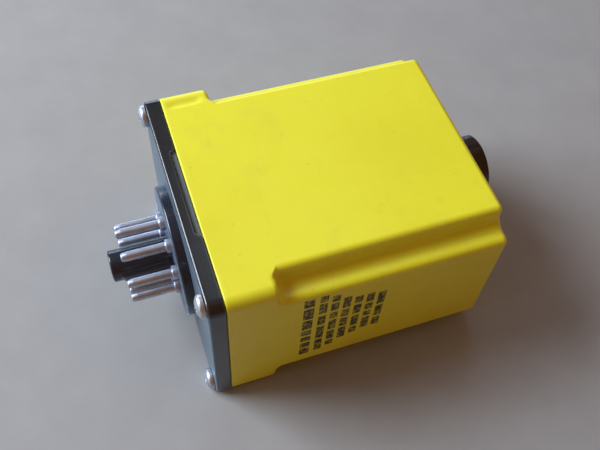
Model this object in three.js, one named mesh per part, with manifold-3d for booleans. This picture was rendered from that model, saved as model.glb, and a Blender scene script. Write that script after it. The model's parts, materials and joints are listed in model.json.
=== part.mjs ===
// Plug-in relay: an octal plug on a screwed-on base plate, a stepped plastic case, a time-setting
// knob on the far end, and a clapper relay with its timer board inside.
// Millimetres. The relay lies on one broad side: +X runs from the plug to the knob, +Y is across
// and +Z is up. While building, X counts from the base plate's outer face; the finished group is
// then moved so that its origin is under the middle of the whole object.

import * as THREE from 'three';
import { mergeVertices } from 'three/addons/utils/BufferGeometryUtils.js';
import Module from 'manifold-3d';

const wasm = await Module();
wasm.setup();

// ---- Driving dimensions ----

const CASE_WIDTH = 61.8;
const CASE_HEIGHT = 45.4;
const MID_HEIGHT = CASE_HEIGHT / 2;
const PLATE_THICKNESS = 3.9;
const BAND_END = 16.1;
const CASE_END = 71.5;
const STEP_WIDTH = 5.5;
const STEP_DEPTH = 5.5;
const BAND_ROUND = 3.0;
const STEP_ROUND = 2.0;
const STEP_FILLET = 2.4;
const END_ROUND = 1.7;
const CASE_WALL = 1.8;
const END_WALL = 2.2;
const SEAM = 0.1;

const PIN_COUNT = 8;
const PIN_CIRCLE_RADIUS = 8.73;
const PIN_RADIUS = 1.18;
const PIN_TIP = -14.4;
const BOSS_RADIUS = 16.5;
const BOSS_FACE = -2.4;
const PLUG_BODY_RADIUS = 15.0;
const PLUG_BACK = 5.8;
const POST_RADIUS = 3.95;
const POST_TIP = -17.4;
const KEY_REACH = 4.9;
const KEY_START = -15.3;

const SCREW_Y = 27.3;
const SCREW_Z = 20.0;
const SCREW_RADIUS = 1.4;

const DIAL_Y = 2.7;
const KNOB_RADIUS = 8.5;
const KNOB_START = CASE_END + 1.0;
const KNOB_END = KNOB_START + 10.6;
const SHAFT_RADIUS = 3.0;

const BOARD_BOTTOM = 9.0;
const BOARD_TOP = 10.6;
const BOARD_START = 9.0;
const BOARD_END = 58.0;
const BOARD_HALF_WIDTH = 27.8;
const REST_GAP = 0.3;
const PART_BASE = BOARD_TOP + REST_GAP;

const RELAY_X = 16.0;
const CORE_X = RELAY_X + 11.5;
const HINGE_X = RELAY_X + 0.8;
const YOKE_TOP = 34.5;
const CONTACT_Y = 6.5;
const ARMATURE_TRAVEL = THREE.MathUtils.degToRad(3.9);

const PLUG_ROUND = 36;
const ROUND = 24;
const SMALL_ROUND = 16;
const TINY_ROUND = 10;

// ---- Materials ----

function plain(color, roughness, metalness) {
  return { color, roughness, metalness };
}

const LOOKS = {
  yellow: plain(0xe3da4a, 0.5, 0),
  black: plain(0x17181c, 0.25, 0),
  nickel: plain(0xc9ccd2, 0.3, 1),
  steel: plain(0x9a9da3, 0.4, 1),
  brass: plain(0xb98f45, 0.35, 1),
  copper: plain(0xa65a33, 0.35, 1),
  board: plain(0x2c5a36, 0.6, 0),
  nylon: plain(0xd8d4c4, 0.6, 0),
  chip: plain(0x1d1d1f, 0.5, 0),
  blue: plain(0x23406e, 0.4, 0),
  ceramic: plain(0xd9d6cb, 0.8, 0),
  tan: plain(0xc09a63, 0.6, 0),
  wire: plain(0xa83226, 0.5, 0),
};

// ---- Solids ----

const TO_X = new THREE.Matrix4().makeBasis(
  new THREE.Vector3(0, 1, 0), new THREE.Vector3(0, 0, 1), new THREE.Vector3(1, 0, 0));
const TO_Y = new THREE.Matrix4().makeBasis(
  new THREE.Vector3(1, 0, 0), new THREE.Vector3(0, 0, 1), new THREE.Vector3(0, -1, 0));

// A manifold solid of a closed three.js geometry.
function solidOf(geometry) {
  const bare = geometry.clone();
  bare.deleteAttribute('normal');
  bare.deleteAttribute('uv');
  const merged = mergeVertices(bare);
  const corners = merged.index.array;
  const triangles = [];
  for (let i = 0; i < corners.length; i += 3) {
    const [a, b, c] = corners.slice(i, i + 3);
    if (a !== b && b !== c && c !== a) triangles.push(a, b, c);
  }
  return new wasm.Manifold(new wasm.Mesh({
    numProp: 3,
    vertProperties: new Float32Array(merged.attributes.position.array),
    triVerts: new Uint32Array(triangles),
  }));
}

// The three.js geometry of a manifold solid.
function geometryOf(solid) {
  const mesh = solid.getMesh();
  const geometry = new THREE.BufferGeometry();
  geometry.setAttribute('position', new THREE.BufferAttribute(mesh.vertProperties, 3));
  geometry.setIndex(new THREE.BufferAttribute(mesh.triVerts, 1));
  geometry.computeVertexNormals();
  return geometry;
}

function moved(geometry, x, y, z) {
  return geometry.translate(x, y, z);
}

// A box between two opposite corners.
function boxBetween(low, high) {
  const size = high.map((value, i) => value - low[i]);
  const middle = high.map((value, i) => (value + low[i]) / 2);
  return moved(new THREE.BoxGeometry(...size), ...middle);
}

// An outline through right-angled corners, with one radius on those that stick out and another
// on those that go in.
function roundedOutline(corners, outerRadius, innerRadius = outerRadius) {
  const shape = new THREE.Shape();
  corners.forEach(([u, v], i) => {
    const corner = new THREE.Vector2(u, v);
    const before = new THREE.Vector2(...corners[(i + corners.length - 1) % corners.length]).sub(corner);
    const after = new THREE.Vector2(...corners[(i + 1) % corners.length]).sub(corner);
    const goesIn = before.cross(after) > 0;
    const radius = goesIn ? innerRadius : outerRadius;
    const start = corner.clone().add(before.setLength(radius));
    const end = corner.clone().add(after.setLength(radius));
    const centre = start.clone().add(end).sub(corner);
    const startAngle = start.clone().sub(centre).angle();
    const endAngle = end.clone().sub(centre).angle();
    shape.absarc(centre.x, centre.y, radius, startAngle, endAngle, goesIn);
  });
  shape.closePath();
  return shape;
}

function rectangle(halfWidth, halfHeight) {
  return [
    [halfWidth, -halfHeight],
    [halfWidth, halfHeight],
    [-halfWidth, halfHeight],
    [-halfWidth, -halfHeight],
  ];
}

function shapeOf(corners) {
  return new THREE.Shape(corners.map(([u, v]) => new THREE.Vector2(u, v)));
}

// A straight extrusion from start to end along its own Z, with its two end edges rounded by round.
function extruded(shape, start, end, round = 0, cornerSteps = 2) {
  const geometry = new THREE.ExtrudeGeometry(shape, {
    depth: end - start - 2 * round,
    bevelEnabled: round > 0,
    bevelThickness: round,
    bevelSize: round,
    bevelOffset: -round,
    bevelSegments: cornerSteps,
    curveSegments: cornerSteps,
  });
  return moved(geometry, 0, 0, start + round);
}

// The outline's two directions become Y and Z, and it runs along X.
function alongX(shape, start, end, round, cornerSteps) {
  return extruded(shape, start, end, round, cornerSteps).applyMatrix4(TO_X);
}

// The outline's two directions become X and Z, and it is centred on centreY.
function acrossY(shape, width, centreY = 0) {
  return moved(extruded(shape, -width / 2, width / 2).applyMatrix4(TO_Y), 0, centreY, 0);
}

// A turned solid about the Z axis from [radius, height] points, listed from low to high outside.
function turnedZ(points, segments = ROUND) {
  const profile = points.map(([radius, height]) => new THREE.Vector2(radius, height));
  return new THREE.LatheGeometry(profile, segments).rotateX(Math.PI / 2);
}

function turnedX(points, segments = ROUND) {
  return turnedZ(points, segments).applyMatrix4(TO_X);
}

// A closed ring profile between two radii and two heights.
function ringProfile(inner, outer, low, high) {
  return [[inner, low], [outer, low], [outer, high], [inner, high], [inner, low]];
}

function rodX(radius, start, end, segments = SMALL_ROUND) {
  return turnedX([[0, start], [radius, start], [radius, end], [0, end]], segments);
}

function rodZ(radius, start, end, segments = SMALL_ROUND) {
  return turnedZ([[0, start], [radius, start], [radius, end], [0, end]], segments);
}

// A first piece with others joined to it or cut from it.
function joined(first, ...others) {
  return geometryOf(others.reduce((whole, next) => whole.add(solidOf(next)), solidOf(first)));
}

function cut(first, ...others) {
  return geometryOf(others.reduce((whole, next) => whole.subtract(solidOf(next)), solidOf(first)));
}

// A wire of round section along a smooth route.
function wire(route, radius, sides = 6, steps = 10) {
  const section = new THREE.Shape();
  section.absarc(0, 0, radius, 0, 2 * Math.PI, false);
  const path = new THREE.CatmullRomCurve3(route.map((point) => new THREE.Vector3(...point)));
  return new THREE.ExtrudeGeometry(section, {
    steps,
    curveSegments: sides / 2,
    bevelEnabled: false,
    extrudePath: path,
  });
}

// ---- The object's scene graph ----

const relay = new THREE.Group();

function place(group, name, geometry, look) {
  const mesh = new THREE.Mesh(geometry, new THREE.MeshStandardMaterial(LOOKS[look]));
  mesh.name = name;
  group.add(mesh);
  return mesh;
}

// ---- Case ----

// The case's section past its band: a rectangle whose four corners are cut back in a step.
function steppedCorners(inset) {
  const side = CASE_WIDTH / 2 - inset;
  const top = CASE_HEIGHT / 2 - inset;
  const shoulder = side - STEP_WIDTH;
  const ledge = top - STEP_DEPTH;
  return [
    [side, -ledge],
    [side, ledge],
    [shoulder, ledge],
    [shoulder, top],
    [-shoulder, top],
    [-shoulder, ledge],
    [-side, ledge],
    [-side, -ledge],
    [-shoulder, -ledge],
    [-shoulder, -top],
    [shoulder, -top],
    [shoulder, -ledge],
  ];
}

// The rounded section, moved inwards by inset. Its walls keep their thickness round each corner.
function steppedOutline(inset) {
  const smallestRound = 0.7;
  const outer = Math.max(STEP_ROUND - inset, smallestRound);
  const inner = Math.min(STEP_FILLET + inset, STEP_DEPTH - outer - 0.1);
  return roundedOutline(steppedCorners(inset), outer, inner);
}

// The four corners where the screws go, as [y, z] from the middle.
const CORNER_PLACES = [-1, 1].flatMap((sideZ) => [-1, 1].map((sideY) => [sideY * SCREW_Y, sideZ * SCREW_Z]));

// Two pairs of rails inside the narrow sides, which the board slides between.
function boardRails() {
  const innerSide = CASE_WIDTH / 2 - CASE_WALL;
  const railHeight = 1.1;
  const railReach = 1.4;
  const railOverlap = 0.5;
  const lowRail = BOARD_BOTTOM - REST_GAP - railHeight - MID_HEIGHT;
  const highRail = BOARD_TOP + REST_GAP - MID_HEIGHT;
  return [lowRail, highRail].flatMap((z) => [-1, 1].map((side) => {
    const nearY = side * (innerSide - railReach);
    const farY = side * (innerSide + railOverlap);
    return boxBetween([8, Math.min(nearY, farY), z], [BOARD_END, Math.max(nearY, farY), z + railHeight]);
  }));
}

function buildCover() {
  const near = PLATE_THICKNESS + SEAM;
  const band = roundedOutline(rectangle(CASE_WIDTH / 2, CASE_HEIGHT / 2), BAND_ROUND);
  const outerSection = steppedOutline(0);
  const hollowSection = steppedOutline(CASE_WALL);
  const outside = [
    alongX(band, near + 4, BAND_END, 1.2, 3),
    alongX(outerSection, near + 4, CASE_END, END_ROUND, 3),
  ];
  const hollow = alongX(hollowSection, near - 1, CASE_END - END_WALL, 0, 1);
  const bushingHole = moved(rodX(3.9, CASE_END - 5, CASE_END + 1, ROUND), 0, DIAL_Y, 0);
  const screwHoles = CORNER_PLACES.map(([y, z]) => moved(rodX(1.55, near - 1, 13.8, TINY_ROUND), 0, y, z));
  const shell = cut(joined(alongX(band, near, near + 6, 0, 3), ...outside), hollow, bushingHole, ...screwHoles);
  return joined(shell, ...boardRails());
}

// The plate's inner rim stands in the cover's mouth, and two shelves under the board hold its end.
function buildBasePlate() {
  const rimEnd = 6.5;
  const rimGap = 0.3;
  const rimWall = 1.5;
  const shelfEnd = 12.0;
  const outline = roundedOutline(rectangle(CASE_WIDTH / 2, CASE_HEIGHT / 2), BAND_ROUND);
  const rimOutside = steppedOutline(CASE_WALL + rimGap);
  const rimInside = steppedOutline(CASE_WALL + rimGap + rimWall);
  const rim = cut(
    alongX(rimOutside, PLATE_THICKNESS - 0.5, rimEnd, 0, 1),
    alongX(rimInside, PLATE_THICKNESS - 1, rimEnd + 1, 0, 1));
  const shelves = [-1, 1].map((side) => {
    const middle = side * 20;
    const low = -MID_HEIGHT + 5.4;
    const high = BOARD_BOTTOM - REST_GAP - MID_HEIGHT;
    return boxBetween([PLATE_THICKNESS - 0.5, middle - 2.5, low], [shelfEnd, middle + 2.5, high]);
  });
  const plugHole = rodX(PLUG_BODY_RADIUS + 0.2, -1, PLATE_THICKNESS + 4, PLUG_ROUND);
  const screwHoles = CORNER_PLACES.map(([y, z]) => moved(rodX(1.75, -1, 8, SMALL_ROUND), 0, y, z));
  // A long shallow recess along the top edge, open towards the cover, where a blade can prise.
  const recess = roundedOutline([[6, -12.5], [6, 13], [2.5, 13], [2.5, -12.5]], 1.2);
  const recessDepth = 0.7;
  const recessCut = extruded(recess, MID_HEIGHT - recessDepth, MID_HEIGHT + 1);
  const plate = joined(
    alongX(outline, 0, PLATE_THICKNESS, 0.6, 2),
    alongX(outline, 1, PLATE_THICKNESS, 0, 2),
    rim,
    ...shelves);
  return cut(plate, plugHole, recessCut, ...screwHoles);
}

// Pan-head screw with a cross recess; its head stands on the plate and its shank is in the cover.
function buildCoverScrew() {
  const head = 2.7;
  const headTop = -1.95;
  const underHead = -0.05;
  const shankEnd = 13.0;
  const recessDepth = 1.1;
  const recessHalfLength = 1.45;
  const recessHalfWidth = 0.32;
  const body = turnedX([
    [0, headTop],
    [1.3, headTop + 0.03],
    [2.1, headTop + 0.3],
    [2.55, headTop + 0.8],
    [head, headTop + 1.3],
    [head, underHead],
    [SCREW_RADIUS, underHead],
    [SCREW_RADIUS, shankEnd - 1],
    [0.7, shankEnd],
    [0, shankEnd],
  ], SMALL_ROUND);
  const bladeTop = headTop - 1;
  const bladeEnd = headTop + recessDepth;
  const blades = [
    boxBetween([bladeTop, -recessHalfLength, -recessHalfWidth], [bladeEnd, recessHalfLength, recessHalfWidth]),
    boxBetween([bladeTop, -recessHalfWidth, -recessHalfLength], [bladeEnd, recessHalfWidth, recessHalfLength]),
  ];
  return cut(body, ...blades);
}

const caseGroup = new THREE.Group();
caseGroup.position.z = MID_HEIGHT;
relay.add(caseGroup);
place(caseGroup, 'cover', buildCover(), 'yellow');
place(caseGroup, 'base_plate', buildBasePlate(), 'black');
CORNER_PLACES.forEach(([y, z], i) => {
  place(caseGroup, `cover_screw_${i + 1}`, buildCoverScrew(), 'nickel').position.set(0, y, z);
});

// ---- Octal plug ----

// The angle of each pin from +Y towards +Z. The key points along -Y, between two pins.
function pinPlace(index) {
  const angle = (2 * Math.PI * (index + 0.5)) / PIN_COUNT;
  return [PIN_CIRCLE_RADIUS * Math.cos(angle), PIN_CIRCLE_RADIUS * Math.sin(angle)];
}

const PIN_PLACES = Array.from({ length: PIN_COUNT }, (_, index) => pinPlace(index));

function buildHeader() {
  const ringGroove = 14.4;
  const body = turnedX([
    [0, POST_TIP],
    [2.7, POST_TIP],
    [3.5, POST_TIP + 0.45],
    [POST_RADIUS, POST_TIP + 1.3],
    [POST_RADIUS, BOSS_FACE],
    [BOSS_RADIUS - 0.7, BOSS_FACE],
    [BOSS_RADIUS - 0.2, BOSS_FACE + 0.2],
    [BOSS_RADIUS, BOSS_FACE + 0.7],
    [BOSS_RADIUS, -0.05],
    [PLUG_BODY_RADIUS, -0.05],
    [PLUG_BODY_RADIUS, PLATE_THICKNESS + 0.15],
    [ringGroove, PLATE_THICKNESS + 0.15],
    [ringGroove, PLATE_THICKNESS + 1.25],
    [PLUG_BODY_RADIUS, PLATE_THICKNESS + 1.25],
    [PLUG_BODY_RADIUS, PLUG_BACK],
    [0, PLUG_BACK],
  ], PLUG_ROUND);
  const key = boxBetween([KEY_START, -KEY_REACH, -0.85], [BOSS_FACE + 0.5, -POST_RADIUS + 1, 0.85]);
  const collarDepth = 0.5;
  const pinHoles = PIN_PLACES.flatMap(([y, z]) => [
    moved(rodX(PIN_RADIUS + 0.12, BOSS_FACE - 1, PLUG_BACK + 1, TINY_ROUND), 0, y, z),
    moved(rodX(2.1, BOSS_FACE - 1, BOSS_FACE + collarDepth, TINY_ROUND + 2), 0, y, z),
  ]);
  return cut(joined(body, key), ...pinHoles);
}

// Hollow-look contact pin: rounded tip, collar on the boss and a solder tail behind it.
function buildPin() {
  const collarRadius = 1.75;
  const collarBack = BOSS_FACE + 0.45;
  return turnedX([
    [0, PIN_TIP],
    [0.5, PIN_TIP + 0.05],
    [0.95, PIN_TIP + 0.4],
    [PIN_RADIUS, PIN_TIP + 1.2],
    [PIN_RADIUS, -3.75],
    [collarRadius, -3.5],
    [collarRadius, collarBack],
    [PIN_RADIUS, collarBack],
    [PIN_RADIUS, PLUG_BACK],
    [0.8, PLUG_BACK + 0.2],
    [0.8, PLUG_BACK + 1.5],
    [0, PLUG_BACK + 1.5],
  ], TINY_ROUND + 2);
}

// An open snap ring in the plug body's groove, behind the plate.
function buildRetainingRing() {
  const low = PLATE_THICKNESS + 0.3;
  const high = PLATE_THICKNESS + 1.1;
  const ring = turnedX(ringProfile(14.6, 17.0, low, high), ROUND);
  return cut(ring, boxBetween([low - 1, 12, -2], [high + 1, 20, 2]));
}

const plugGroup = new THREE.Group();
plugGroup.position.z = MID_HEIGHT;
relay.add(plugGroup);
place(plugGroup, 'octal_header', buildHeader(), 'black');
place(plugGroup, 'header_retaining_ring', buildRetainingRing(), 'steel');
PIN_PLACES.forEach(([y, z], i) => {
  place(plugGroup, `pin_${i + 1}`, buildPin(), 'nickel').position.set(0, y, z);
});

// ---- Time-setting knob and its potentiometer ----

const BUSHING_END = CASE_END + 3.0;
const NUT_CAVITY_END = KNOB_START + 2.4;
const SHAFT_END = KNOB_END - 2.7;
const SET_SCREW_X = KNOB_START + 5.6;
const POT_BACK = CASE_END - 10.7;

// A round outline with shallow finger flutes all the way round.
function flutedOutline(radius, depth) {
  const flutes = 8;
  const stepsPerFlute = 6;
  const steps = flutes * stepsPerFlute;
  const firstCrest = THREE.MathUtils.degToRad(17.5);
  const points = Array.from({ length: steps }, (_, step) => {
    const angle = (2 * Math.PI * step) / steps;
    const dip = (depth * (1 - Math.cos(flutes * angle))) / 2;
    return new THREE.Vector2(radius - dip, 0).rotateAround(new THREE.Vector2(), angle + firstCrest);
  });
  return new THREE.Shape(points);
}

function buildKnob() {
  const body = alongX(flutedOutline(KNOB_RADIUS, 0.35), KNOB_START, KNOB_END, 0.4);
  const bore = rodX(SHAFT_RADIUS + 0.05, KNOB_START - 1, SHAFT_END + 0.3, ROUND);
  const nutCavity = rodX(6.6, KNOB_START - 1, NUT_CAVITY_END, ROUND);
  const screwHole = moved(rodZ(1.45, 0, KNOB_RADIUS + 1, TINY_ROUND).rotateX(-Math.PI / 2), SET_SCREW_X, 0, 0);
  // A pointer groove runs out from the middle of the knob's end.
  const pointer = boxBetween([KNOB_END - 0.4, -0.45, 1.5], [KNOB_END + 1, 0.45, KNOB_RADIUS + 1]);
  return cut(body, bore, nutCavity, screwHole, pointer);
}

function buildSetScrew() {
  const inner = SHAFT_RADIUS + 0.15;
  const outer = KNOB_RADIUS - 0.9;
  const body = rodZ(1.3, inner, outer, TINY_ROUND);
  const slot = boxBetween([-0.25, -2, outer - 0.8], [0.25, 2, outer + 1]);
  return cut(body, slot).rotateX(-Math.PI / 2);
}

// Closed can with a hollow for the track and wiper, open only where the shaft goes through.
function buildPotBody() {
  const front = CASE_END - END_WALL - REST_GAP;
  return turnedX([
    [0, POT_BACK],
    [8.2, POT_BACK],
    [8.2, front],
    [SHAFT_RADIUS + 0.1, front],
    [SHAFT_RADIUS + 0.1, front - 1.2],
    [7.2, front - 1.2],
    [7.2, POT_BACK + 1.4],
    [0, POT_BACK + 1.4],
  ], ROUND);
}

function buildPotWiper() {
  const start = POT_BACK + 3.3;
  const end = start + 1.2;
  const hub = turnedX(ringProfile(SHAFT_RADIUS + 0.05, 4.4, start, end), ROUND);
  const arm = boxBetween([start, -1.2, 3.6], [end, 1.2, 6.6]);
  return joined(hub, arm);
}

function buildPotNut() {
  const hexagon = 6;
  const nut = turnedX(ringProfile(3.75, 5.77, 0, 2.2), hexagon);
  return cut(nut, rodX(3.75, -1, 3, ROUND));
}

const dialGroup = new THREE.Group();
dialGroup.position.set(0, DIAL_Y, MID_HEIGHT);
relay.add(dialGroup);
const washerStart = CASE_END + SEAM;
const nutStart = washerStart + 0.5;
place(dialGroup, 'knob', buildKnob(), 'black');
place(dialGroup, 'knob_set_screw', buildSetScrew(), 'steel').position.x = SET_SCREW_X;
place(dialGroup, 'pot_shaft', rodX(SHAFT_RADIUS, POT_BACK + 2.3, SHAFT_END, ROUND), 'brass');
place(dialGroup, 'pot_wiper', buildPotWiper(), 'brass');
place(dialGroup, 'pot_body', buildPotBody(), 'steel');
place(dialGroup, 'pot_bushing',
  turnedX(ringProfile(SHAFT_RADIUS + 0.1, 3.65, CASE_END - END_WALL - 0.25, BUSHING_END), ROUND), 'brass');
place(dialGroup, 'pot_washer',
  turnedX(ringProfile(3.9, 5.9, washerStart, washerStart + 0.4), ROUND), 'steel');
place(dialGroup, 'pot_nut', buildPotNut(), 'nickel').position.x = nutStart;

// ---- Circuit board ----

const RELAY_SCREW_X = RELAY_X + 17.5;

function buildBoard() {
  const board = boxBetween(
    [BOARD_START, -BOARD_HALF_WIDTH, BOARD_BOTTOM], [BOARD_END, BOARD_HALF_WIDTH, BOARD_TOP]);
  return cut(board, moved(rodZ(1.6, 0, BOARD_TOP + 5, TINY_ROUND), RELAY_SCREW_X, 0, 0));
}

place(relay, 'circuit_board', buildBoard(), 'board');

// ---- Clapper relay ----

const POLE_TOP = YOKE_TOP - 0.8;
const ARMATURE_BOTTOM = YOKE_TOP + 0.3;
const ARMATURE_TOP = ARMATURE_BOTTOM + 1.4;
const CARRIER_TOP = ARMATURE_TOP + 2.2;
const BLADE_BOTTOM = CARRIER_TOP + 0.05;
const CONTACT_X = RELAY_X + 29.5;
const BLOCK_START = CONTACT_X + 3.5;
const BLOCK_END = BLOCK_START + 3.9;

// L-shaped iron frame with the tab that the return spring hooks on.
function buildYoke() {
  const thick = 1.6;
  const foot = PART_BASE;
  const profile = shapeOf([
    [RELAY_X, foot],
    [RELAY_X + 21, foot],
    [RELAY_X + 21, foot + thick],
    [RELAY_X + thick, foot + thick],
    [RELAY_X + thick, YOKE_TOP],
    [RELAY_X, YOKE_TOP],
  ]);
  const tab = boxBetween([RELAY_X - 4.4, -1.5, 19], [RELAY_X + 0.5, 1.5, 20.2]);
  const coreHole = moved(rodZ(2.6, foot - 1, foot + thick + 1), CORE_X, 0, 0);
  const screwHole = moved(rodZ(1.5, foot - 1, foot + thick + 1, TINY_ROUND), RELAY_SCREW_X, 0, 0);
  return cut(joined(acrossY(profile, 18), tab), coreHole, screwHole);
}

function buildCore() {
  const shoulder = PART_BASE + 1.7;
  return turnedZ([
    [0, PART_BASE + 0.1],
    [2.5, PART_BASE + 0.1],
    [2.5, shoulder],
    [3.2, shoulder],
    [3.2, POLE_TOP - 1.2],
    [4.6, POLE_TOP - 1.2],
    [4.6, POLE_TOP],
    [0, POLE_TOP],
  ], SMALL_ROUND);
}

const BOBBIN_LOW = PART_BASE + 1.9;
const BOBBIN_HIGH = POLE_TOP - 1.5;

function buildBobbin() {
  const flange = 1.0;
  return turnedZ([
    [3.4, BOBBIN_LOW],
    [8.8, BOBBIN_LOW],
    [8.8, BOBBIN_LOW + flange],
    [4.2, BOBBIN_LOW + flange],
    [4.2, BOBBIN_HIGH - flange],
    [8.8, BOBBIN_HIGH - flange],
    [8.8, BOBBIN_HIGH],
    [3.4, BOBBIN_HIGH],
    [3.4, BOBBIN_LOW],
  ], SMALL_ROUND);
}

function buildWinding() {
  return turnedZ(ringProfile(4.5, 8.2, BOBBIN_LOW + 1.2, BOBBIN_HIGH - 1.2), SMALL_ROUND);
}

// The armature lies on the yoke's top edge; its tail reaches back over the return spring.
function buildArmature() {
  return boxBetween([RELAY_X - 5, -8.5, ARMATURE_BOTTOM], [RELAY_X + 24, 8.5, ARMATURE_TOP]);
}

function buildContactCarrier() {
  return boxBetween([RELAY_X + 19, -10.5, ARMATURE_TOP + 0.05], [RELAY_X + 24, 10.5, CARRIER_TOP]);
}

// A spring blade with a contact button through its end.
function buildMovingContact() {
  const blade = boxBetween([RELAY_X + 19, -1.8, BLADE_BOTTOM], [CONTACT_X + 1.8, 1.8, BLADE_BOTTOM + 0.4]);
  const button = rodZ(1.3, BLADE_BOTTOM - 0.65, BLADE_BOTTOM + 1.05, TINY_ROUND);
  return joined(blade, moved(button, CONTACT_X, 0, 0));
}

const BUTTON_LOW = BLADE_BOTTOM - 0.65;
const BUTTON_HIGH = BLADE_BOTTOM + 1.05;
const CONTACT_DROP = (CONTACT_X + 1.3 - HINGE_X) * Math.sin(ARMATURE_TRAVEL);

// The lower fixed contact: its arm reaches under the moving button, its leg goes down to the board.
function buildOpenContact() {
  const buttonTop = BUTTON_LOW - CONTACT_DROP - 0.1;
  const armTop = buttonTop - 0.8;
  const armBottom = armTop - 0.6;
  const legFront = BLOCK_START - 1.0;
  const profile = shapeOf([
    [CONTACT_X - 1.8, armBottom],
    [legFront, armBottom],
    [legFront, PART_BASE],
    [legFront + 0.6, PART_BASE],
    [legFront + 0.6, armTop],
    [CONTACT_X - 1.8, armTop],
  ]);
  const button = moved(rodZ(1.3, armTop - 0.3, buttonTop, TINY_ROUND), CONTACT_X, 0, 0);
  return joined(acrossY(profile, 3.6), button);
}

// The upper fixed contact goes over the block, and its leg comes down behind it.
function buildClosedContact() {
  const buttonBottom = BUTTON_HIGH + 0.1;
  const armBottom = buttonBottom + 0.8;
  const armTop = armBottom + 0.6;
  const legFront = BLOCK_END + 0.4;
  const profile = shapeOf([
    [CONTACT_X - 1.8, armBottom],
    [legFront, armBottom],
    [legFront, PART_BASE],
    [legFront + 0.6, PART_BASE],
    [legFront + 0.6, armTop],
    [CONTACT_X - 1.8, armTop],
  ]);
  const button = moved(rodZ(1.3, buttonBottom, armBottom + 0.3, TINY_ROUND), CONTACT_X, 0, 0);
  return joined(acrossY(profile, 3.6), button);
}

function buildContactBlock() {
  const top = BUTTON_HIGH + 0.6;
  return boxBetween([BLOCK_START, -11, PART_BASE], [BLOCK_END, 11, top]);
}

function buildReturnSpring() {
  const coil = turnedZ(ringProfile(1.1, 1.7, 20.5, YOKE_TOP - 0.2), TINY_ROUND);
  return moved(coil, RELAY_X - 2.6, 0, 0);
}

function buildRelayScrew() {
  const headBottom = 6.9;
  const screw = turnedZ([
    [0, headBottom],
    [2.2, headBottom],
    [2.6, headBottom + 0.5],
    [2.6, BOARD_BOTTOM - REST_GAP],
    [1.3, BOARD_BOTTOM - REST_GAP],
    [1.3, PART_BASE + 1.5],
    [0, PART_BASE + 1.5],
  ], TINY_ROUND);
  return moved(screw, RELAY_SCREW_X, 0, 0);
}

place(relay, 'relay_yoke', buildYoke(), 'steel');
place(relay, 'relay_core', buildCore(), 'steel').position.x = CORE_X;
place(relay, 'coil_bobbin', buildBobbin(), 'nylon').position.x = CORE_X;
place(relay, 'coil_winding', buildWinding(), 'copper').position.x = CORE_X;
place(relay, 'armature', buildArmature(), 'steel');
place(relay, 'contact_carrier', buildContactCarrier(), 'nylon');
place(relay, 'contact_block', buildContactBlock(), 'nylon');
place(relay, 'return_spring', buildReturnSpring(), 'nickel');
place(relay, 'relay_screw', buildRelayScrew(), 'steel');
[-1, 1].forEach((side, i) => {
  place(relay, `moving_contact_${i + 1}`, buildMovingContact(), 'brass').position.y = side * CONTACT_Y;
  place(relay, `open_contact_${i + 1}`, buildOpenContact(), 'brass').position.y = side * CONTACT_Y;
  place(relay, `closed_contact_${i + 1}`, buildClosedContact(), 'brass').position.y = side * CONTACT_Y;
});

// ---- Timer electronics on the board ----

// A can capacitor standing on the board, with a rolled groove near its foot.
function buildCanCapacitor(radius, height) {
  return turnedZ([
    [0, PART_BASE],
    [radius, PART_BASE],
    [radius, PART_BASE + 1.4],
    [radius - 0.4, PART_BASE + 1.9],
    [radius, PART_BASE + 2.4],
    [radius, PART_BASE + height - 0.4],
    [radius - 0.5, PART_BASE + height],
    [0, PART_BASE + height],
  ], SMALL_ROUND);
}

// A small component lying along X between two bent legs.
function buildAxialPart(bodyRadius, bodyLength, span) {
  const legRadius = 0.35;
  const axisHeight = PART_BASE + bodyRadius + 0.6;
  const half = span / 2;
  const legs = wire([
    [-half, 0, PART_BASE],
    [-half, 0, axisHeight - 0.5],
    [-half + 0.5, 0, axisHeight],
    [half - 0.5, 0, axisHeight],
    [half, 0, axisHeight - 0.5],
    [half, 0, PART_BASE],
  ], legRadius, 4, 14);
  const body = rodX(bodyRadius, -bodyLength / 2, bodyLength / 2, TINY_ROUND);
  return joined(moved(body, 0, 0, axisHeight), legs);
}

// A dual in-line chip: a body on seven pairs of legs.
function buildTimerChip() {
  const pairs = 7;
  const pitch = 2.54;
  const bodyBottom = PART_BASE + 0.9;
  const body = boxBetween([-9.5, -3.2, bodyBottom], [9.5, 3.2, bodyBottom + 3.3]);
  const legs = Array.from({ length: pairs }, (_, i) => {
    const x = (i - (pairs - 1) / 2) * pitch;
    const bridge = shapeOf([
      [-4.1, PART_BASE],
      [-3.7, PART_BASE],
      [-3.7, bodyBottom + 1.2],
      [3.7, bodyBottom + 1.2],
      [3.7, PART_BASE],
      [4.1, PART_BASE],
      [4.1, bodyBottom + 1.6],
      [-4.1, bodyBottom + 1.6],
    ]);
    return alongX(bridge, x - 0.25, x + 0.25);
  });
  return joined(body, ...legs);
}

// A transistor with a flat front and three legs.
function buildTransistor() {
  const section = new THREE.Shape();
  section.absarc(0, 0, 2.4, -0.25 * Math.PI, 1.25 * Math.PI, false);
  section.closePath();
  const body = extruded(section, PART_BASE + 2, PART_BASE + 7, 0, 4);
  const legs = [-1.27, 0, 1.27].map((x) => boxBetween([x - 0.2, -0.2, PART_BASE], [x + 0.2, 0.2, PART_BASE + 3]));
  return joined(body, ...legs);
}

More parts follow.
